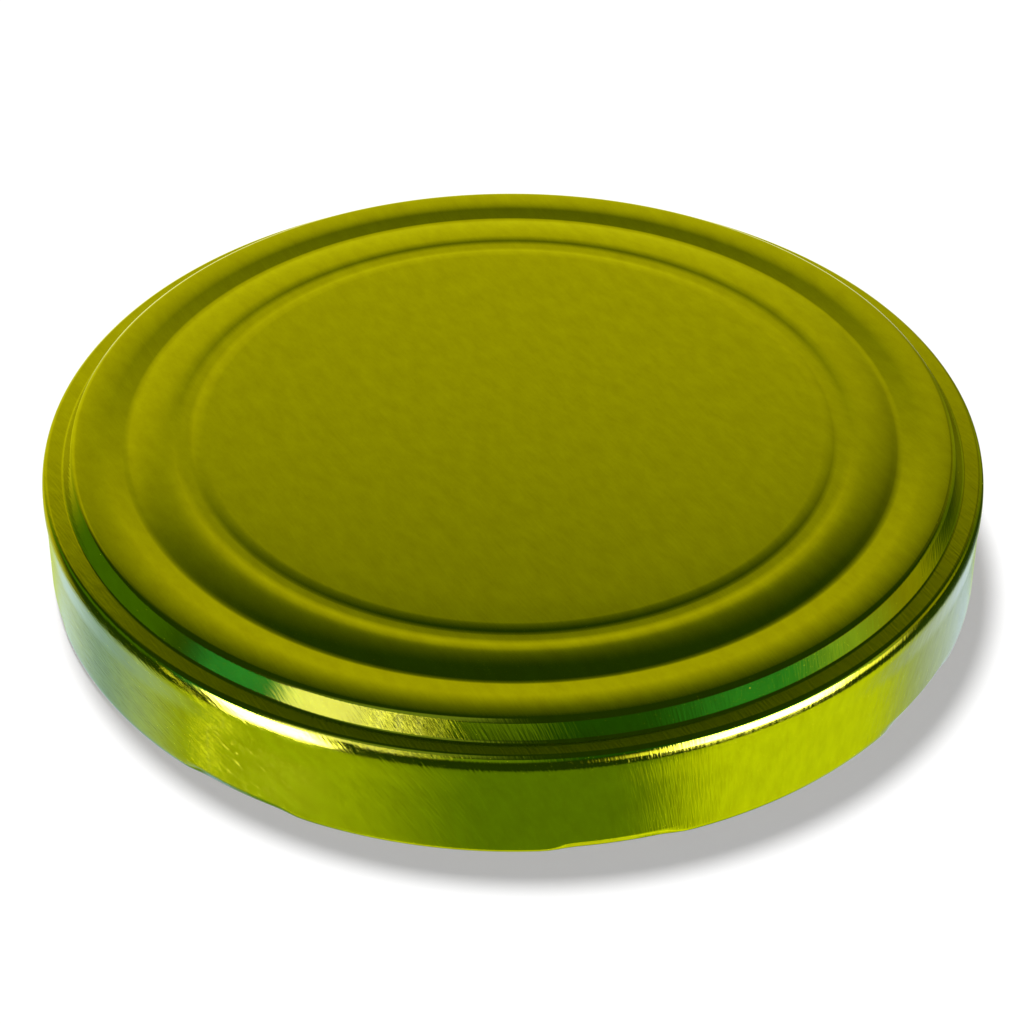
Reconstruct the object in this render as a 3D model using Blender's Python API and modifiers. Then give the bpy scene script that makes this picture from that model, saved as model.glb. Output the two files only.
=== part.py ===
"""A wide lug cap for a jar: a drawn tinplate shell with a curled edge and pressed lugs, and its sealing ring.

Metres, +Z up. The cap rests on its curled rim at z = 0, with its axis on Z and a lug facing -Y.
"""
import math

import bpy
from mathutils import Vector

MM = 0.001

# Sheet
SHEET = 0.20 * MM                   # tinplate thickness

# Outer face, heights
PANEL_HEIGHT = 17.05 * MM           # flat centre panel, above the rim
GROOVE_DEPTH = 0.15 * MM            # small ring groove round the panel
RING_DROP = 0.06 * MM               # flat ring outside the groove, below the panel
VALLEY_DEPTH = 0.62 * MM            # V-shaped valley inside the outer bead
BEAD_DROP = 0.29 * MM               # the outer bead's crest, below the panel
BEAD_EDGE_DROP = 0.37 * MM          # the outer bead's outer edge, below the panel
LEDGE_DROP = 2.65 * MM              # narrow ledge outside the step, below the panel

# Outer face, from the widest radius inward
SHOULDER = 56.25 * MM               # radius at the widest place on the cap
SKIRT_INSET = 0.35 * MM             # the skirt, inside the shoulder
LEDGE_WIDTH = 2.75 * MM             # from the shoulder in to the foot of the step
STEP_LEAN = 1.15 * MM               # the steep step, across
BEAD_OUTER = 2.45 * MM              # from the step's top to the bead's crest
BEAD_INNER = 3.90 * MM              # from the bead's crest to the crease of the valley
SLOPE_WIDTH = 4.55 * MM             # the panel's fall to the valley
PANEL_BORDER = 0.60 * MM            # flat strip between the groove and that fall
GROOVE_OUTER = 1.00 * MM            # groove, outer slope
GROOVE_FLOOR = 1.45 * MM
GROOVE_INNER = 1.00 * MM            # groove, inner slope

SKIRT = SHOULDER - SKIRT_INSET
STEP_FOOT = SHOULDER - LEDGE_WIDTH
STEP_TOP = STEP_FOOT - STEP_LEAN
BEAD_CREST = STEP_TOP - BEAD_OUTER
VALLEY = BEAD_CREST - BEAD_INNER
SLOPE_START = VALLEY - SLOPE_WIDTH
GROOVE_END = SLOPE_START - PANEL_BORDER
GROOVE_FLOOR_END = GROOVE_END - GROOVE_OUTER
GROOVE_FLOOR_START = GROOVE_FLOOR_END - GROOVE_FLOOR
GROOVE_START = GROOVE_FLOOR_START - GROOVE_INNER
LEDGE_HEIGHT = PANEL_HEIGHT - LEDGE_DROP

# Bends
STEP_TOP_BEND = 1.00 * MM
STEP_FOOT_BEND = 0.35 * MM
SHOULDER_BEND = 1.15 * MM           # from the ledge down
BULGE_BEND = 2.00 * MM              # at the widest place
BULGE_DROP = 1.54 * MM              # the widest place, below the ledge
SHOULDER_LEAN = math.radians(18)    # lean of the sheet above and below the widest place
SKIRT_BEND = 1.90 * MM

# Curled edge
CURL = 1.15 * MM                    # outer radius of the roll
CURL_TURN = math.radians(270)       # how far the sheet rolls in from the skirt

# Lugs, where the curl is pressed flat and inward
LUG_COUNT = 8
LUG_FLAT = math.radians(5.2)        # half the width that is pressed fully home
LUG_RUN_OUT = math.radians(9.4)     # half the width where the press mark ends
LUG_DENT = 0.50 * MM                # how far the outer face is pressed in
LUG_LIFT = 0.45 * MM                # how far the lower edge is raised
LUG_DEPTH = 3.00 * MM               # the flattened roll, across the wall
LUG_THICKNESS = 1.30 * MM           # the flattened roll, up and down
LUG_MARK = 2.80 * MM                # height on the skirt where the dent fades out

# Sealing ring
SEAL_CLEARANCE = 0.30 * MM          # to the sheet above it
SEAL_INSET = 0.95 * MM              # its inner edge, outside the crease of the valley
SEAL_EDGE = 0.35 * MM               # thickness of the inner edge
SEAL_SLOPE = 1.20 * MM              # width over which it grows to full thickness
SEAL_THICKNESS = 0.76 * MM          # under the outer bead's crest
SEAL_LIP = 0.55 * MM                # thickness of the film on the inside of the step
SEAL_LIP_RISE = 0.50 * MM           # lower end of that film, above the ledge

SEAL_START = VALLEY + SEAL_INSET
SEAL_LIP_HEIGHT = LEDGE_HEIGHT + SEAL_LIP_RISE

STEPS = 72                          # facets round the cap
BEND_FACET = math.radians(46)       # largest turn of one facet in a bend
SWELL_FACETS = 3                    # facets in each shallow swell of the top
MERGE = 0.01 * MM


def bend(before, corner, after, radius, least=1):
    """The arc that rounds a corner of a line in the section, in at least this many facets."""
    back = (before - corner).normalized()
    ahead = (after - corner).normalized()
    turn = math.pi - back.angle(ahead)
    centre = corner + (back + ahead).normalized() * radius / math.cos(turn / 2)
    start = corner + back * radius * math.tan(turn / 2) - centre
    side = 1 if back.cross(ahead) < 0 else -1
    count = max(least, math.ceil(turn / BEND_FACET))
    return [centre + turned_by(start, side * turn * step / count) for step in range(count + 1)]


def turned_by(arm, angle):
    return Vector((arm.x * math.cos(angle) - arm.y * math.sin(angle),
                   arm.x * math.sin(angle) + arm.y * math.cos(angle)))


def swell(crest, end):
    """Points of a shallow swell that leaves its crest level and steepens to its end, without the crest."""
    return [Vector((crest.x + (end.x - crest.x) * part, crest.y + (end.y - crest.y) * part ** 2))
            for part in (step / SWELL_FACETS for step in range(1, SWELL_FACETS + 1))]


def top_line():
    """Outer face from the axis to the top of the step."""
    groove_floor = PANEL_HEIGHT - GROOVE_DEPTH
    ring = PANEL_HEIGHT - RING_DROP
    slope_start = Vector((SLOPE_START, ring))
    valley = Vector((VALLEY, PANEL_HEIGHT - VALLEY_DEPTH))
    crest = Vector((BEAD_CREST, PANEL_HEIGHT - BEAD_DROP))
    edge = Vector((STEP_TOP, PANEL_HEIGHT - BEAD_EDGE_DROP))
    panel = [Vector((0, PANEL_HEIGHT)), Vector((GROOVE_START, PANEL_HEIGHT)),
             Vector((GROOVE_FLOOR_START, groove_floor)), Vector((GROOVE_FLOOR_END, groove_floor)),
             Vector((GROOVE_END, ring)), slope_start]
    inner_swell = swell(slope_start, valley)
    bead = swell(crest, valley)[-2::-1] + [crest] + swell(crest, edge)
    return panel + inner_swell + bead


def bulge_corners():
    """Where the ledge, the sheet above and below the widest place, and the skirt would meet without their bends."""
    middle = Vector((SHOULDER + BULGE_BEND * (1 / math.cos(SHOULDER_LEAN) - 1), LEDGE_HEIGHT - BULGE_DROP))
    slant = math.tan(SHOULDER_LEAN)
    return (Vector((middle.x - BULGE_DROP * slant, LEDGE_HEIGHT)), middle,
            Vector((SKIRT, middle.y - (middle.x - SKIRT) / slant)))


def curl_centre():
    return Vector((SKIRT - CURL, CURL))


def shell_line():
    """Outer face from the axis, over the shoulder and down to the end of the rolled edge."""
    top = top_line()
    foot = Vector((STEP_FOOT, LEDGE_HEIGHT))
    shoulder, bulge, skirt_top = bulge_corners()
    skirt_end = curl_centre() + Vector((CURL, 0))
    marks = [Vector((SKIRT, LUG_MARK)), Vector((SKIRT, (LUG_MARK + CURL) / 2))]
    rolls = math.ceil(CURL_TURN / BEND_FACET)
    roll = [curl_centre() + turned_by(Vector((CURL, 0)), -CURL_TURN * step / rolls) for step in range(rolls + 1)]
    return (top[:-1] + bend(top[-2], top[-1], foot, STEP_TOP_BEND)
            + bend(top[-1], foot, shoulder, STEP_FOOT_BEND)
            + bend(foot, shoulder, bulge, SHOULDER_BEND)
            + bend(shoulder, bulge, skirt_top, BULGE_BEND, least=2)
            + bend(bulge, skirt_top, skirt_end, SKIRT_BEND)
            + marks + roll)


def under(line, distance):
    """A line that lies this far below or inside another, with mitred corners."""
    normals = []
    for here, there in zip(line, line[1:]):
        run = (there - here).normalized()
        normals.append(Vector((run.y, -run.x)))
    moved = [line[0] + normals[0] * distance]
    for point, before, after in zip(line[1:-1], normals, normals[1:]):
        mitre = (before + after).normalized()
        moved.append(point + mitre * distance / mitre.dot(after))
    moved.append(line[-1] + normals[-1] * distance)
    return moved


def crossing(line, axis, value):
    """Where a line passes a radius (axis 0) or a height (axis 1), with its last stretch lengthened to reach it."""
    for here, there in zip(line, line[1:]):
        low, high = sorted((here[axis], there[axis]))
        if low <= value <= high and low < high:
            break
    return here.lerp(there, (value - here[axis]) / (there[axis] - here[axis]))


def seal_loop():
    """Section of the sealing ring: along the sheet, down the step's inside, and back along the flat seat."""
    top = top_line()
    bead_and_step = [point for point in top if point.x > VALLEY - MERGE] + [Vector((STEP_FOOT, LEDGE_HEIGHT))]
    roof = under(bead_and_step, SHEET + SEAL_CLEARANCE)
    start = crossing(roof, 0, SEAL_START)
    lip_end = crossing(roof[-2:], 1, SEAL_LIP_HEIGHT)
    along = [point for point in roof[:-1] if point.x > start.x]
    seat_height = PANEL_HEIGHT - BEAD_DROP - SHEET - SEAL_CLEARANCE - SEAL_THICKNESS
    lip_face = under(bead_and_step[-2:], SHEET + SEAL_CLEARANCE + SEAL_LIP)
    lip_foot = crossing(lip_face, 1, SEAL_LIP_HEIGHT)
    seat_end = crossing(lip_face, 1, seat_height)
    seat_start = Vector((SEAL_START + SEAL_SLOPE, seat_height))
    return [start] + along + [lip_end, lip_foot, seat_end, seat_start, start - Vector((0, SEAL_EDGE))]


def material(name, colour, metallic, roughness):
    made = bpy.data.materials.new(name)
    made.use_nodes = True
    shader = made.node_tree.nodes["Principled BSDF"]
    shader.inputs["Base Color"].default_value = (*colour, 1)
    shader.inputs["Metallic"].default_value = metallic
    shader.inputs["Roughness"].default_value = roughness
    made.diffuse_color = (*colour, 1)
    return made


def turned(name, line, closed, finish, collection):
    """A section turned about Z with a Screw modifier."""
    mesh = bpy.data.meshes.new(name)
    edges = [(place, place + 1) for place in range(len(line) - 1)]
    if closed:
        edges.append((len(line) - 1, 0))
    mesh.from_pydata([(point.x, 0, point.y) for point in line], edges, [])
    piece = bpy.data.objects.new(name, mesh)
    collection.objects.link(piece)
    screw = piece.modifiers.new("turn", "SCREW")
    screw.steps = STEPS
    screw.render_steps = STEPS
    screw.use_merge_vertices = True
    screw.merge_threshold = MERGE
    piece.data.materials.append(finish)
    return piece


def applied(piece):
    """Gives a piece the mesh that its modifiers make, so that its points can be moved."""
    graph = bpy.context.evaluated_depsgraph_get()
    mesh = bpy.data.meshes.new_from_object(piece.evaluated_get(graph))
    piece.modifiers.clear()
    piece.data = mesh


def eased(part):
    part = min(max(part, 0), 1)
    return part * part * (3 - 2 * part)


def press_lugs(mesh):
    """Flattens the roll inward at each lug, which also dents the skirt's foot and lifts its lower edge."""
    sector = math.tau / LUG_COUNT
    roll = curl_centre()
    flat = Vector((SKIRT - LUG_DENT - LUG_DEPTH / 2, LUG_LIFT + LUG_THICKNESS / 2))
    for vertex in mesh.vertices:
        radius = math.hypot(vertex.co.x, vertex.co.y)
        on_skirt = vertex.co.z > CURL and radius > SKIRT - MERGE
        in_roll = not on_skirt and vertex.co.z < 2 * CURL + MERGE
        if not (in_roll or on_skirt and vertex.co.z < LUG_MARK):
            continue
        angle = math.atan2(vertex.co.y, vertex.co.x) + math.pi / 2
        off = abs((angle + sector / 2) % sector - sector / 2)
        press = eased((LUG_RUN_OUT - off) / (LUG_RUN_OUT - LUG_FLAT))
        here = Vector((radius, vertex.co.z))
        if in_roll:
            arm = here - roll
            there = flat + Vector((arm.x * LUG_DEPTH, arm.y * LUG_THICKNESS)) / (2 * CURL)
        else:
            fade = eased((LUG_MARK - vertex.co.z) / (LUG_MARK - CURL))
            there = here - Vector((LUG_DENT * fade, 0))
        moved = here.lerp(there, press)
        vertex.co.x *= moved.x / radius
        vertex.co.y *= moved.x / radius
        vertex.co.z = moved.y


def smooth(mesh):
    mesh.shade_smooth()
    mesh.set_sharp_from_angle(angle=math.radians(35))


def build():
    for piece in list(bpy.data.objects):
        bpy.data.objects.remove(piece)
    collection = bpy.data.collections.new("jar_lid")
    bpy.context.scene.collection.children.link(collection)
    lacquer = material("olive_gold_lacquer", (0.24, 0.22, 0.004), 1, 0.25)
    compound = material("cream_sealing_compound", (0.78, 0.74, 0.62), 0, 0.55)

    shell = turned("lid_shell", shell_line(), False, lacquer, collection)
    applied(shell)
    press_lugs(shell.data)
    smooth(shell.data)
    sheet = shell.modifiers.new("sheet", "SOLIDIFY")
    sheet.thickness = SHEET
    sheet.offset = -1
    sheet.use_even_offset = True

    seal = turned("sealing_ring", seal_loop(), True, compound, collection)
    applied(seal)
    smooth(seal.data)


build()
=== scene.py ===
# %% [markdown]
# # A wide lug cap for a jar
#
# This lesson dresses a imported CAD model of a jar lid. The real lid is one disc of thin tinplate,
# lacquered while it is flat, then pressed: a shallow groove and a valley ring the panel, a steep step
# drops to a rounded shoulder, the edge is rolled inward, and eight lugs are pressed into the roll.
# A soft sealing ring lies in the channel inside.
#
# Everything is in metres, +Z up, with the lid resting on its rolled edge at z = 0.

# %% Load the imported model
import math

import bmesh
import bpy
from mathutils import Matrix, Vector


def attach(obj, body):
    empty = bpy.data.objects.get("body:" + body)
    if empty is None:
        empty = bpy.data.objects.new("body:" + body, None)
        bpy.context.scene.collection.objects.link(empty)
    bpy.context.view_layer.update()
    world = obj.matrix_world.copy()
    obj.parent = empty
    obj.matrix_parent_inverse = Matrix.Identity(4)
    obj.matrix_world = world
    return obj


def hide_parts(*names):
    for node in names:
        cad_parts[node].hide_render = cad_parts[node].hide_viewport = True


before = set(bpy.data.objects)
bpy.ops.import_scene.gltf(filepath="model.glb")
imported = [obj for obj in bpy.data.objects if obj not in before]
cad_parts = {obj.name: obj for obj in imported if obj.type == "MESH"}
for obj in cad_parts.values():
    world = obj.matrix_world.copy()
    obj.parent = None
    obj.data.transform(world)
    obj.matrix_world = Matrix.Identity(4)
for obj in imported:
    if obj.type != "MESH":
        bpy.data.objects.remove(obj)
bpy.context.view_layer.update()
MM = 0.001


# %% [markdown]
# ## The section of the sheet
#
# The lid is round, so half of its cross-section, turned about Z, makes all of it. A press tool is
# drawn the same way, as a few corners with a bend at each. The corners below are the outer face, as
# radius, height above the rim, and how far the bend reaches along the sheet from its corner. All of
# them are in millimetres.
#
# Two long bends are worth a note. The flat ring rolls over into the valley, and the outer bead swells
# up beyond it, in slow curves. A bend that reaches far along both sides of its corner makes such a
# curve, where a short one makes a crease. The shoulder lies slightly inside the CAD's, by 0.3 mm at
# most, because the real sheet is a little straighter there than the CAD has it.

# %% Corners of the section
PANEL = 17.05            # height of the centre panel
GROOVE = 16.90           # floor of the small ring groove
RING = 16.99             # flat ring outside the groove
VALLEY = 16.43           # bottom of the valley
BEAD = 16.83             # where the two slopes of the outer bead would meet
STEP_TOP = 16.66         # top of the step
LEDGE = 14.40            # ledge at the foot of the step
LEDGE_EDGE = 14.33       # the ledge falls a little towards the shoulder
SKIRT = 55.90            # radius of the skirt
SKIRT_FOOT = 1.90        # the skirt is still round here, just above a lug
LUG_MARK = 1.70          # crease on the skirt where the dent of a lug begins
ROLL = 1.15              # outer radius of the rolled edge

section_corners = [
    # radius, height, reach of the bend, facets in the bend
    (0.0, PANEL, 0, 0),
    (37.40, PANEL, 0.68, 6),
    (38.40, GROOVE, 0.32, 5),
    (39.85, GROOVE, 0.38, 5),
    (40.85, RING, 0.50, 6),
    (43.30, RING, 1.85, 12),
    (46.00, VALLEY, 0.45, 7),
    (49.90, BEAD, 1.60, 12),
    (52.35, STEP_TOP, 0.48, 10),
    (53.52, LEDGE, 0.26, 6),
    (55.72, LEDGE_EDGE, 0.42, 8),
    (56.02, 13.55, 0.38, 10),
    (56.13, 12.20, 0.60, 12),
    (SKIRT, 9.30, 0.60, 5),
    (SKIRT, SKIRT_FOOT, 0, 0),
    (SKIRT, LUG_MARK, 0, 0),
    (SKIRT, ROLL, 0, 0),
]
print(len(section_corners), "corners in the section")

# %% [markdown]
# ## Rounding the corners
#
# The corners become vertices joined by edges. A vertex bevel then rounds each one, as the radius on
# a press tool does. The bevel works on a bare line, which keeps the section easy to change.

# %% Draw the section and round it
def section_line(corners, closed=False):
    """A bmesh that holds the corners as one line in the XZ plane, with each corner bevelled round."""
    line = bmesh.new()
    points = [line.verts.new((radius * MM, 0, height * MM)) for radius, height, reach, facets in corners]
    for here, there in zip(points, points[1:] + points[:1] if closed else points[1:]):
        line.edges.new((here, there))
    for point, (radius, height, reach, facets) in zip(points, corners):
        if reach:
            bmesh.ops.bevel(line, geom=[point], offset=reach * MM, offset_type="OFFSET", affect="VERTICES",
                            segments=facets, profile=0.5, material=-1)
    return line


shell = section_line(section_corners)
print(len(shell.verts), "points after the bends")

# %% [markdown]
# ## Rolling the edge
#
# The raw edge of the sheet is curled inward, so that nobody is cut by it and the lid is stiff. Here
# the last vertex of the skirt is spun three quarters of a turn about the middle of the roll.

# %% Roll the edge
ROLL_TURN = math.radians(270)
ROLL_FACETS = 24
WELD = 0.001 * MM        # points closer than this are one point
skirt_foot = min((v for v in shell.verts if len(v.link_edges) == 1), key=lambda v: v.co.z)
bmesh.ops.spin(shell, geom=[skirt_foot], cent=((SKIRT - ROLL) * MM, 0, ROLL * MM), axis=(0, 1, 0),
               angle=ROLL_TURN, steps=ROLL_FACETS, use_merge=False, use_duplicate=False)
bmesh.ops.remove_doubles(shell, verts=shell.verts, dist=WELD)
print("lowest point of the roll", round(min(v.co.z for v in shell.verts) / MM, 3), "mm")

# %% [markdown]
# ## Longer runs, and the measure along the sheet
#
# The flat panel and the skirt are cut into shorter stretches. Then each point is given its distance
# along the sheet from the middle. That is how far out the point lay while the sheet was still a flat
# disc, so it later places the rolling grain of the metal on the pressed lid.

# %% Cut long runs and measure along the sheet
LONGEST_RUN = 5.0 * MM
for edge in [e for e in shell.edges if e.calc_length() > LONGEST_RUN]:
    bmesh.ops.subdivide_edges(shell, edges=[edge], cuts=int(edge.calc_length() / LONGEST_RUN))

along = shell.verts.layers.float.new("along")
point = min(shell.verts, key=lambda v: v.co.x)
edge = point.link_edges[0]
distance = 0.0
while edge:
    onward = edge.other_vert(point)
    distance += edge.calc_length()
    onward[along] = distance
    edge = next((e for e in onward.link_edges if e is not edge), None)
    point = onward
print("the flat blank is", round(2 * distance / MM, 1), "mm across")
print(len(shell.verts), "points in the section")

# %% [markdown]
# ## Turning the section
#
# One full spin makes the sheet. The first and last copies are merged, and so are the copies of the
# middle point. After that the faces are turned outward, before the sheet gets its thickness. The
# number of steps divides by eight, so that every lug gets the same points.

# %% Spin the sheet
AROUND = 320


def turn_about_z(piece, steps):
    """Spins a section about Z, closes the seam and the poles, and turns the faces outward."""
    bmesh.ops.spin(piece, geom=piece.verts[:] + piece.edges[:], cent=(0, 0, 0), axis=(0, 0, 1),
                   angle=math.tau, steps=steps, use_merge=True, use_duplicate=False)
    bmesh.ops.remove_doubles(piece, verts=piece.verts, dist=WELD)
    bmesh.ops.recalc_face_normals(piece, faces=piece.faces)


turn_about_z(shell, AROUND)
top = max(shell.faces, key=lambda f: f.calc_center_median().z)
if top.normal.z < 0:
    bmesh.ops.reverse_faces(shell, faces=shell.faces)
print(len(shell.faces), "faces in the sheet")

# %% [markdown]
# ## A map of the flat blank
#
# The lacquer and the grain of the metal were there before the press. A UV map that holds each
# point's place on the flat disc, in metres, carries them onto the shape as the press did: straight
# on the panel, slanting on the step and the skirt.

# %% Map the sheet
blank_map = shell.loops.layers.uv.new("blank")
for face in shell.faces:
    for loop in face.loops:
        x, y = loop.vert.co.xy
        radius = math.hypot(x, y)
        stretch = loop.vert[along] / radius if radius > WELD else 0
        loop[blank_map].uv = (x * stretch, y * stretch)
reach_of_map = max(loop[blank_map].uv.length for face in shell.faces for loop in face.loops)
print("blank map reaches", round(reach_of_map / MM, 2), "mm from its middle")

# %% [markdown]
# ## Pressing the lugs
#
# A lug is a short length of the rolled edge, pressed flat and inward so that it catches under the
# thread of the jar. From outside it shows as a crescent: the skirt's foot slants inward under a
# crease, and the lower edge is lifted. There are eight, one each 45 degrees. Each vertex in the roll
# is moved towards the flattened shape, by an amount that is full across the lug and eases to nothing
# at its ends. Of the round roll, the outer side makes the slanting face, the lowest part makes a flat
# underside, and the inner half is squeezed to an ellipse.

# %% Shape of a pressed lug
LUGS = 8
LUG_FLAT = math.radians(4.6)         # half the width that is pressed fully home
LUG_RUN_OUT = math.radians(8.6)      # half the width where the press mark ends
LUG_DENT = 0.62                      # how far the foot of the slanting face is pressed in
LUG_DEPTH, LUG_THICKNESS = 2.88, 1.30
LUG_NOSE = 0.46                      # height of the outer lower edge of a lug
LUG_LIFT = 0.45                      # height of its underside, further in
NOSE_ANGLE = 45                      # the point of the roll that becomes that lower edge, below its middle
HAIR = 0.01                          # a distance too small to matter


def eased(part):
    """0 up to 0, 1 from 1 on, and a soft curve between."""
    part = min(max(part, 0), 1)
    return part * part * (3 - 2 * part)


def radius_of_dent(height):
    """The slanting face: flush with the skirt at the crease, and pressed in most at the lower edge."""
    return SKIRT - LUG_DENT * max(LUG_MARK - height, 0) / (LUG_MARK - LUG_NOSE)


def pressed(radius, height):
    """Where a point of the rolled edge lies once it is pressed fully home."""
    across, up = radius - (SKIRT - ROLL), height - ROLL
    middle = SKIRT - LUG_DENT - LUG_DEPTH / 2
    below = math.degrees(math.atan2(-up, across))
    if across > 0 and up < 0 and below > NOSE_ANGLE:             # the outer half of the flat underside
        part = (below - NOSE_ANGLE) / (90 - NOSE_ANGLE)
        return SKIRT - LUG_DENT + part * (middle - SKIRT + LUG_DENT), LUG_NOSE + part * (LUG_LIFT - LUG_NOSE)
    if across > 0 and (up <= 0 or radius > SKIRT - HAIR):        # the slanting face
        new_height = ROLL + below / NOSE_ANGLE * (LUG_NOSE - ROLL) if up < 0 else height
        return radius_of_dent(new_height), new_height
    wider, flatter = LUG_DEPTH / (2 * ROLL), LUG_THICKNESS / (2 * ROLL)
    return middle + across * wider, LUG_LIFT + LUG_THICKNESS / 2 + up * flatter


print("a lug is flat over", round(2 * math.degrees(LUG_FLAT), 1), "degrees, and its mark takes",
      round(2 * math.degrees(LUG_RUN_OUT), 1))

# %% Press the lugs
moved = 0
turn = math.tau / LUGS
for vert in shell.verts:
    radius, height = math.hypot(vert.co.x, vert.co.y) / MM, vert.co.z / MM
    if height > LUG_MARK or radius < SKIRT - 2 * ROLL - HAIR:
        continue
    off = abs((math.atan2(vert.co.y, vert.co.x) + math.pi / 2 + turn / 2) % turn - turn / 2)
    press = eased((LUG_RUN_OUT - off) / (LUG_RUN_OUT - LUG_FLAT))
    new_radius, new_height = pressed(radius, height)
    vert.co.xy *= 1 + press * (new_radius / radius - 1)
    vert.co.z += press * (new_height - height) * MM
    moved += press > 0
print(moved, "vertices pressed")

# %% [markdown]
# ## Colours and node helpers
#
# A colour is written as the hex value a painter would read from a swatch, and one function turns it
# to the linear numbers that the shader wants. One more function adds a node with its settings. A Mix
# node for colours has its two colours at inputs 6 and 7, and its result at output 2.

# %% Helpers for materials
def linear(hex_colour):
    channels = [int(hex_colour[i:i + 2], 16) / 255 for i in (1, 3, 5)]
    return [c / 12.92 if c <= 0.04045 else ((c + 0.055) / 1.055) ** 2.4 for c in channels] + [1]


def node(tree, kind, settings=None, inputs=None):
    """Adds a node. An input is given a value, or the output socket to link from."""
    made = tree.nodes.new(kind)
    for name, value in (settings or {}).items():
        setattr(made, name, value)
    for name, value in (inputs or {}).items():
        if isinstance(value, bpy.types.NodeSocket):
            tree.links.new(value, made.inputs[name])
        else:
            made.inputs[name].default_value = value
    return made


def new_material(name):
    made = bpy.data.materials.new(name)
    made.use_nodes = True
    return made, made.node_tree, made.node_tree.nodes["Principled BSDF"]


print("mid grey in linear light:", round(linear("#808080")[0], 3))

# %% [markdown]
# ## Olive-gold lacquer on tinplate
#
# The outside is tinplate under a clear, strongly tinted lacquer. It looks like coloured metal: bright
# where it mirrors something pale, nearly black where it mirrors something dark, and white where the
# clear surface catches a lamp. So it is a metal with the lacquer's colour, under a clear coat.
# The steel was rolled, which leaves fine ridges that all run one way and break up each highlight.
# They are faint on the flat panel and rougher where the press bent and drew the sheet. The lacquer is
# not quite even either, so its colour is mottled over a few millimetres.
#
# The real ridges are some hundredths of a millimetre wide, too fine for a picture of the whole lid.
# They are drawn about ten times as coarse, so that a highlight still breaks up along them.

# %% Rolling grain, for both sides of the sheet
GRAIN_TURN = math.radians(-74)       # direction of rolling, against the map
NOISE_LOW, NOISE_HIGH = 0.3, 0.7     # most of a noise lies between these


def drawn_out_noise(tree, place, length, width, detail, roughness=0.5):
    """Noise on the flat blank, with spots of this length along the rolling direction, and this width."""
    along_grain = node(tree, "ShaderNodeMapping", {"vector_type": "TEXTURE"},
                       {"Vector": place, "Rotation": (0, 0, GRAIN_TURN), "Scale": (length, width, 1)})
    noise = node(tree, "ShaderNodeTexNoise", inputs={"Vector": along_grain.outputs["Vector"], "Scale": 1.0,
                                                     "Detail": detail, "Roughness": roughness})
    return noise.outputs["Fac"]


def roughness_from(tree, grain, least, most):
    """Makes a little roughness of the grain, so that a highlight is not equally sharp all over."""
    return node(tree, "ShaderNodeMapRange",
                inputs={"Value": grain, "From Min": NOISE_LOW, "From Max": NOISE_HIGH,
                        "To Min": least, "To Max": most}).outputs["Result"]


print("grain turned", round(math.degrees(GRAIN_TURN)), "degrees")

# %% Outer lacquer
PANEL_GRAIN, DRAWN_GRAIN = 0.08, 0.70        # strength of the ridges
BEND_START, BEND_END = 51 * MM, 54 * MM      # on the flat blank, where the step of the lid begins and ends
RIDGE_HEIGHT = 0.03 * MM
lacquer, tree, shader = new_material("olive_gold_lacquer_on_tinplate")
place = node(tree, "ShaderNodeUVMap", {"uv_map": "blank"}).outputs["UV"]
grain = drawn_out_noise(tree, place, 2.6 * MM, 0.27 * MM, detail=2.0)
from_middle = node(tree, "ShaderNodeVectorMath", {"operation": "LENGTH"}, {0: place})
drawn = node(tree, "ShaderNodeMapRange", inputs={"Value": from_middle.outputs["Value"],
                                                 "From Min": BEND_START, "From Max": BEND_END,
                                                 "To Min": PANEL_GRAIN, "To Max": DRAWN_GRAIN})
ridges = node(tree, "ShaderNodeBump", inputs={"Height": grain, "Strength": drawn.outputs["Result"],
                                              "Distance": RIDGE_HEIGHT})
mottle = drawn_out_noise(tree, place, 3.4 * MM, 1.7 * MM, detail=5.0, roughness=0.62)
tint = node(tree, "ShaderNodeMix", {"data_type": "RGBA"}, {"Factor": mottle})
tint.inputs[6].default_value = linear("#A29E20")
tint.inputs[7].default_value = linear("#C2C22C")
tree.links.new(tint.outputs[2], shader.inputs["Base Color"])
tree.links.new(roughness_from(tree, grain, 0.06, 0.11), shader.inputs["Roughness"])
tree.links.new(ridges.outputs["Normal"], shader.inputs["Normal"])
shader.inputs["Metallic"].default_value = 1
shader.inputs["Coat Weight"].default_value = 0.10
shader.inputs["Coat Roughness"].default_value = 0.03
shader.inputs["Coat IOR"].default_value = 1.5
print("made", lacquer.name)

# %% [markdown]
# ## Gold lacquer inside
#
# Food lids are lacquered inside with a plain pale gold coat that stands up to acid. It is duller than
# the outside, because no clear varnish goes over it.

# %% Inner lacquer
inner_lacquer, tree, shader = new_material("pale_gold_inner_lacquer")
place = node(tree, "ShaderNodeUVMap", {"uv_map": "blank"}).outputs["UV"]
grain = drawn_out_noise(tree, place, 4 * MM, 0.22 * MM, detail=2.0)
shader.inputs["Base Color"].default_value = linear("#D6BE84")
shader.inputs["Metallic"].default_value = 1
tree.links.new(roughness_from(tree, grain, 0.28, 0.40), shader.inputs["Roughness"])
print("made", inner_lacquer.name)

# %% [markdown]
# ## From mesh to finished sheet
#
# A Solidify modifier gives the sheet its 0.20 mm, inward, so that the outer face stays where the
# section has it. The new inner face takes the next material slot.

# %% Finish the shell
def finished(mesh_in_work, name, materials):
    """Turns a bmesh into a smooth object at the origin, with these materials."""
    mesh = bpy.data.meshes.new(name)
    mesh_in_work.to_mesh(mesh)
    mesh_in_work.free()
    mesh.shade_smooth()
    piece = bpy.data.objects.new(name, mesh)
    bpy.context.scene.collection.objects.link(piece)
    for finish in materials:
        mesh.materials.append(finish)
    return piece


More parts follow.
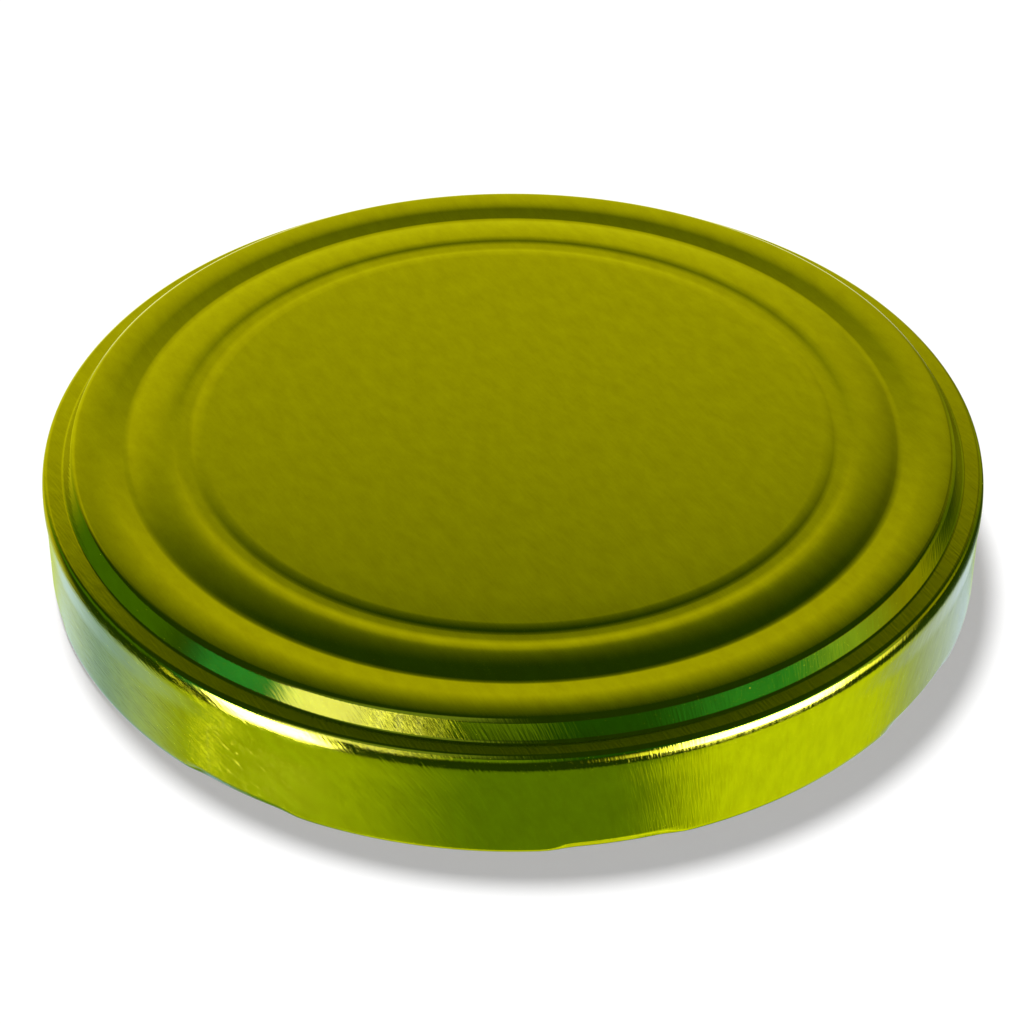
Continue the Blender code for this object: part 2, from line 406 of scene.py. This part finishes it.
SHEET = 0.20             # thickness of the tinplate
lid = finished(shell, "pressed_lid", [lacquer, inner_lacquer])
thickness = lid.modifiers.new("sheet", "SOLIDIFY")
thickness.thickness = SHEET * MM
thickness.offset = -1
thickness.use_even_offset = True
thickness.material_offset = 1
thickness.material_offset_rim = 1
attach(lid, "root")
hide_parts("lid_shell")
print(lid.name, len(lid.data.polygons), "faces before thickness")

# %% [markdown]
# ## The sealing ring
#
# A soft compound is squirted into the channel under the outer bead and cured there. It follows the
# sheet above it, its face to the jar is flat, and a thin film runs up the inside of the step. The
# section is a closed loop of corners, rounded as the compound rounds itself, and spun like the sheet.

# %% Make the sealing ring
seal_corners = [
    # radius, height, reach of the bend, facets in the bend
    (47.00, 15.90, 0.12, 4),
    (47.00, 16.27, 0.04, 2),
    (48.30, 16.40, 0.50, 3),
    (49.80, 16.51, 0.50, 3),
    (51.20, 16.46, 0.50, 3),
    (52.10, 16.36, 0.16, 5),
    (52.98, 14.90, 0.10, 4),
    (52.12, 14.90, 0.20, 5),
    (51.85, 15.50, 0.26, 6),
    (48.20, 15.50, 0.90, 8),
]
seal = section_line(seal_corners, closed=True)
turn_about_z(seal, AROUND)
print(len(seal.faces), "faces in the ring")

# %% [markdown]
# ## Cream sealing compound
#
# The compound is a soft vinyl paste that cures to a smooth, slightly waxy rubber. It has no gloss of
# its own. Light goes a little way into the real compound, but this material leaves that out.

# %% Ring finish
MOTTLE_SIZE, SKIN_HEIGHT = 4 * MM, 0.03 * MM
compound, tree, shader = new_material("cream_sealing_compound")
place = node(tree, "ShaderNodeTexCoord")
mottle = node(tree, "ShaderNodeTexNoise", inputs={"Vector": place.outputs["Object"], "Scale": 1 / MOTTLE_SIZE,
                                                  "Detail": 3.0})
tint = node(tree, "ShaderNodeMix", {"data_type": "RGBA"}, {"Factor": mottle.outputs["Fac"]})
tint.inputs[6].default_value = linear("#E2DCC6")
tint.inputs[7].default_value = linear("#EDE8D6")
skin = node(tree, "ShaderNodeBump", inputs={"Height": mottle.outputs["Fac"], "Strength": 0.2,
                                            "Distance": SKIN_HEIGHT})
tree.links.new(tint.outputs[2], shader.inputs["Base Color"])
tree.links.new(skin.outputs["Normal"], shader.inputs["Normal"])
shader.inputs["Roughness"].default_value = 0.45
ring = finished(seal, "sealing_compound_ring", [compound])
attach(ring, "root")
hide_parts("sealing_ring")
print(ring.name, len(ring.data.polygons), "faces")

# %% [markdown]
# ## The floor
#
# The photograph is cut out on white, with a soft shadow on it. A white floor takes that shadow. It is
# hidden from glossy rays, because the metal gets its own picture of the paper from the studio below,
# and the lid is hidden from diffuse rays, so that it throws no coloured gleam on the paper.

# %% Floor
CAMERA_TURN = math.radians(-12.1)    # the photograph looks from a little left of the front lug


def stage_direction(azimuth, elevation):
    """A direction from the lid, with azimuth from the camera's side, positive to its right, in degrees."""
    turn, rise = math.radians(azimuth) + CAMERA_TURN, math.radians(elevation)
    return Vector((math.sin(turn) * math.cos(rise), -math.cos(turn) * math.cos(rise), math.sin(rise)))


FLOOR_RADIUS = 1.5
floor_mesh = bmesh.new()
bmesh.ops.create_circle(floor_mesh, cap_ends=True, segments=96, radius=FLOOR_RADIUS)
white, tree, shader = new_material("white_paper")
shader.inputs["Base Color"].default_value = linear("#F3F3F3")
shader.inputs["Roughness"].default_value = 1
shader.inputs["Specular IOR Level"].default_value = 0
floor = finished(floor_mesh, "floor", [white])
floor.visible_glossy = False
lid.visible_diffuse = False
print(floor.name, "radius", FLOOR_RADIUS, "m")

# %% [markdown]
# ## The sun
#
# The shadow falls forward and to the right, so the light comes from high up, behind and a little to
# the left. The sun is hidden from glossy rays too: the highlights come from the studio's lamps.

# %% Sun
SUN_AZIMUTH, SUN_ELEVATION = -156, 69
sun_light = bpy.data.lights.new("sun_from_behind", "SUN")
sun_light.energy = 2.34
sun_light.angle = math.radians(14)   # a wide sun, for a shadow with a soft edge
sun = bpy.data.objects.new("sun_from_behind", sun_light)
scene = bpy.context.scene
scene.collection.objects.link(sun)
sun.rotation_euler = stage_direction(SUN_AZIMUTH, SUN_ELEVATION).to_track_quat("Z", "Y").to_euler()
sun.visible_glossy = False
print("sun strength", sun_light.energy)

# %% [markdown]
# ## The studio that the metal mirrors
#
# Shiny metal shows its surroundings and little else, so this is where most of its look comes from.
# A world made of nodes stands for the studio. Each light or card in it is a patch of the sky with soft
# edges, placed by two angles from the lid: azimuth and elevation. Azimuth is counted from the
# camera's side. For what lies straight behind it is counted from there, because a card can't lie
# across the place where the angle jumps from 180 to -180. Both grow the same way round.

# %% World, and a helper for its sums
world = bpy.data.worlds.new("studio")
world.use_nodes = True
world.cycles.sampling_method = "NONE"    # each ray then finds the world that is meant for its kind
scene.world = world
tree = world.node_tree
tree.nodes.clear()
ray = node(tree, "ShaderNodeTexCoord")
turned = node(tree, "ShaderNodeVectorRotate", {"rotation_type": "Z_AXIS"},
              {"Vector": ray.outputs["Generated"], "Angle": -CAMERA_TURN})
parts = node(tree, "ShaderNodeSeparateXYZ", inputs={"Vector": turned.outputs["Vector"]})


def maths(operation, *values):
    """A maths node. Each value is a number, or an output socket to link from."""
    made = tree.nodes.new("ShaderNodeMath")
    made.operation = operation
    for socket, value in zip(made.inputs, values):
        if isinstance(value, bpy.types.NodeSocket):
            tree.links.new(value, socket)
        else:
            socket.default_value = value
    return made.outputs["Value"]


print("made world", world.name)

# %% The angles of a ray
DEGREES = 180 / math.pi
to_front = maths("MULTIPLY", parts.outputs["Y"], -1.0)
to_left = maths("MULTIPLY", parts.outputs["X"], -1.0)
angles = {"front": maths("MULTIPLY", maths("ARCTAN2", parts.outputs["X"], to_front), DEGREES),
          "back": maths("MULTIPLY", maths("ARCTAN2", to_left, parts.outputs["Y"]), DEGREES)}
elevation = maths("MULTIPLY", maths("ARCSINE", parts.outputs["Z"]), DEGREES)
print("azimuth is counted from:", ", ".join(angles))

# %% [markdown]
# ## Lights and cards
#
# A card is a soft-edged band of azimuth times a soft-edged band of elevation.
#
# - The broad window behind is what the flat panel mirrors. The backdrop below it shows as thin lines
#   along the far edges, and the ceiling glow on bends that turn towards the camera.
# - The strip light at each side of the camera makes the white highlight along the shoulder. The
#   lacquer takes blue away, so the strip is bluer than its reflection.
# - The narrow slats between the strips make the bright streaks on the step.
# - The green, olive and daylight cards at table height give the step its bands of colour.
# - The paper that the lid lies on, lit from both sides, is what the skirt mirrors.
#
# The colours are amounts of light, so a lamp goes far above 1.

# %% A band of angles
def within(value, middle, half_width, edge):
    """1 inside a band of degrees and 0 outside, with soft edges."""
    away = maths("ABSOLUTE", maths("SUBTRACT", value, middle))
    return node(tree, "ShaderNodeMapRange", {"interpolation_type": "SMOOTHSTEP"},
                {"Value": away, "From Min": half_width - edge / 2, "From Max": half_width + edge / 2,
                 "To Min": 1.0, "To Max": 0.0}).outputs["Result"]


# %% Lights and cards of the studio
room = [0.025, 0.058, 0.004, 1]      # what a glossy ray sees where there is no card
cards = [
    # name, side that azimuth is counted from, azimuth (middle, half width, edge), elevation (the same), light
    ("window behind", "back", (16, 32, 26), (0, 37.5, 14), [0.44, 0.385, 0.005]),
    ("ceiling by the window", "back", (16, 34, 26), (0, 45, 22), [0.23, 0.235, 0.005]),
    ("window, lower part", "back", (16, 30, 26), (0, 23, 22), [0.20, 0.20, 0.005]),
    ("window glow right", "back", (-30, 16, 20), (10, 26, 28), [0.20, 0.18, 0.005]),
    ("backdrop behind", "back", (2, 22, 12), (-13, 15, 6), [0.60, 0.62, 0.95]),
    ("ceiling glow", "front", (-32, 24, 30), (58, 26, 24), [0.24, 0.32, 0.28]),
    ("left strip", "front", (-55, 12, 8), (-19, 16, 4), [24, 24, 40]),
    ("left strip head", "front", (-43, 10, 7), (15, 20, 10), [1.8, 1.8, 4.4]),
    ("slat one", "front", (-30, 1.0, 1.6), (12, 24, 10), [3.4, 3.4, 6.0]),
    ("slat two", "front", (-25.5, 0.7, 1.4), (12, 24, 10), [3.8, 3.8, 7.0]),
    ("slat three", "front", (-21, 0.6, 1.2), (12, 24, 10), [3.0, 3.0, 4.0]),
    ("slat four", "front", (-16, 0.4, 1.0), (12, 24, 10), [2.4, 2.4, 1.8]),
    ("right strip", "front", (57, 17, 16), (-17, 14, 4), [24, 24, 40]),
    ("right strip tail", "front", (60, 34, 16), (-19, 6, 8), [2.2, 2.2, 1.3]),
    ("left card edge", "front", (-81, 0.25, 0.5), (-50, 34, 10), [6, 6, 1.8]),
    ("dark green left", "front", (-106, 24, 18), (0, 16, 8), [0.06, 0.16, 0.0]),
    ("daylight left", "front", (-63, 12, 14), (0, 16, 8), [0.02, 0.36, 0.60]),
    ("olive front", "front", (-5, 12, 14), (4, 14, 10), [0.19, 0.32, 0.05]),
    ("green front", "front", (24, 18, 18), (6, 14, 10), [0.0, 0.06, 0.01]),
    ("daylight right", "front", (66, 24, 26), (6, 14, 10), [0.02, 0.32, 0.34]),
    ("olive right", "front", (94, 20, 20), (6, 16, 10), [0.36, 0.32, 0.0]),
    ("dark olive right", "front", (128, 22, 20), (6, 16, 10), [0.10, 0.14, 0.0]),
    ("paper", "front", (0, 181, 1), (-57, 19.5, 3), [0.16, 0.27, 0.01]),
    ("paper lit from the left", "front", (-68, 40, 44), (-57, 19.5, 3), [0.38, 0.40, 0.01]),
    ("paper lit from the right", "front", (77, 34, 28), (-57, 19.5, 3), [0.76, 0.80, 0.01]),
    ("paper far left", "front", (-127, 29, 20), (-48.5, 9.8, 1.6), [0.16, 0.24, 1.0]),
    ("paper far right", "front", (139, 23, 26), (-48.5, 10.2, 1.6), [0.42, 0.42, 0.95]),
    ("paper behind", "back", (0, 40, 40), (-46, 10.0, 3), [0.10, 0.12, 0.2]),
    ("paper by the edge", "front", (0, 181, 1), (-90, 16, 5), [0.85, 0.88, 0.02]),
]
print(len(cards), "lights and cards")

# %% Add them to the room
studio = None
for name, side, across, up, colour in cards:
    amount = maths("MULTIPLY", within(angles[side], *across), within(elevation, *up))
    shown = node(tree, "ShaderNodeMix", {"data_type": "RGBA", "label": name}, {"Factor": amount})
    shown.inputs[6].default_value = (0, 0, 0, 1)
    shown.inputs[7].default_value = (*colour, 1)
    total = node(tree, "ShaderNodeMix", {"data_type": "RGBA", "blend_type": "ADD"}, {"Factor": 1.0})
    if studio is None:
        total.inputs[6].default_value = room
    else:
        tree.links.new(studio, total.inputs[6])
    tree.links.new(shown.outputs[2], total.inputs[7])
    studio = total.outputs[2]
print(len(tree.nodes), "nodes so far")

# %% [markdown]
# ## What each kind of ray sees
#
# Only glossy rays see the cards. Camera rays see plain white, and diffuse rays an even light, so
# neither the background nor the floor changes when a card is moved.

# %% Which ray sees what
EVEN_LIGHT = 0.5
kind_of_ray = node(tree, "ShaderNodeLightPath")
for_diffuse = node(tree, "ShaderNodeBackground", inputs={"Color": (1, 1, 1, 1), "Strength": EVEN_LIGHT})
for_gloss = node(tree, "ShaderNodeBackground", inputs={"Color": studio, "Strength": 1.0})
for_camera = node(tree, "ShaderNodeBackground", inputs={"Color": (1, 1, 1, 1), "Strength": 1.0})
lit = node(tree, "ShaderNodeMixShader", inputs={"Fac": kind_of_ray.outputs["Is Diffuse Ray"]})
tree.links.new(for_gloss.outputs[0], lit.inputs[1])
tree.links.new(for_diffuse.outputs[0], lit.inputs[2])
seen = node(tree, "ShaderNodeMixShader", inputs={"Fac": kind_of_ray.outputs["Is Camera Ray"]})
tree.links.new(lit.outputs[0], seen.inputs[1])
tree.links.new(for_camera.outputs[0], seen.inputs[2])
sky = node(tree, "ShaderNodeOutputWorld")
tree.links.new(seen.outputs[0], sky.inputs["Surface"])
print(len(tree.nodes), "nodes in the world")

# %% [markdown]
# ## The camera
#
# The photograph was taken with a long lens from about 38 degrees above the table. The numbers come
# from fitting a camera to the ellipses of the lid's rings.

# %% Camera
SENSOR = 36.0
FOCAL_LENGTH, PICTURE_WIDTH = 3238, 1024     # both in pixels of the photograph
CAMERA_DISTANCE = 0.39375                    # from the point that it looks at
CAMERA_ELEVATION, CAMERA_ROLL = 37.87, 0.242
AIM_BESIDE, AIM_HEIGHT = -0.09, 3.95         # that point, beside the axis of the lid and above the table
camera_data = bpy.data.cameras.new("camera")
camera_data.sensor_width = SENSOR
camera_data.lens = FOCAL_LENGTH / PICTURE_WIDTH * SENSOR
camera = bpy.data.objects.new("camera", camera_data)
scene.collection.objects.link(camera)
scene.camera = camera
aim = Vector((AIM_BESIDE * math.cos(CAMERA_TURN), AIM_BESIDE * math.sin(CAMERA_TURN), AIM_HEIGHT)) * MM
back = stage_direction(0, CAMERA_ELEVATION)
stand = Matrix.Translation(aim + back * CAMERA_DISTANCE)
look = back.to_track_quat("Z", "Y").to_matrix().to_4x4()
camera.matrix_world = stand @ look @ Matrix.Rotation(math.radians(CAMERA_ROLL), 4, "Z")
camera_data.clip_start = 0.01
print("camera at", tuple(round(c, 4) for c in camera.location))

# %% [markdown]
# ## Last settings
#
# The plain Standard view shows colours as they are.

# %% Finish
scene.view_settings.view_transform = "Standard"
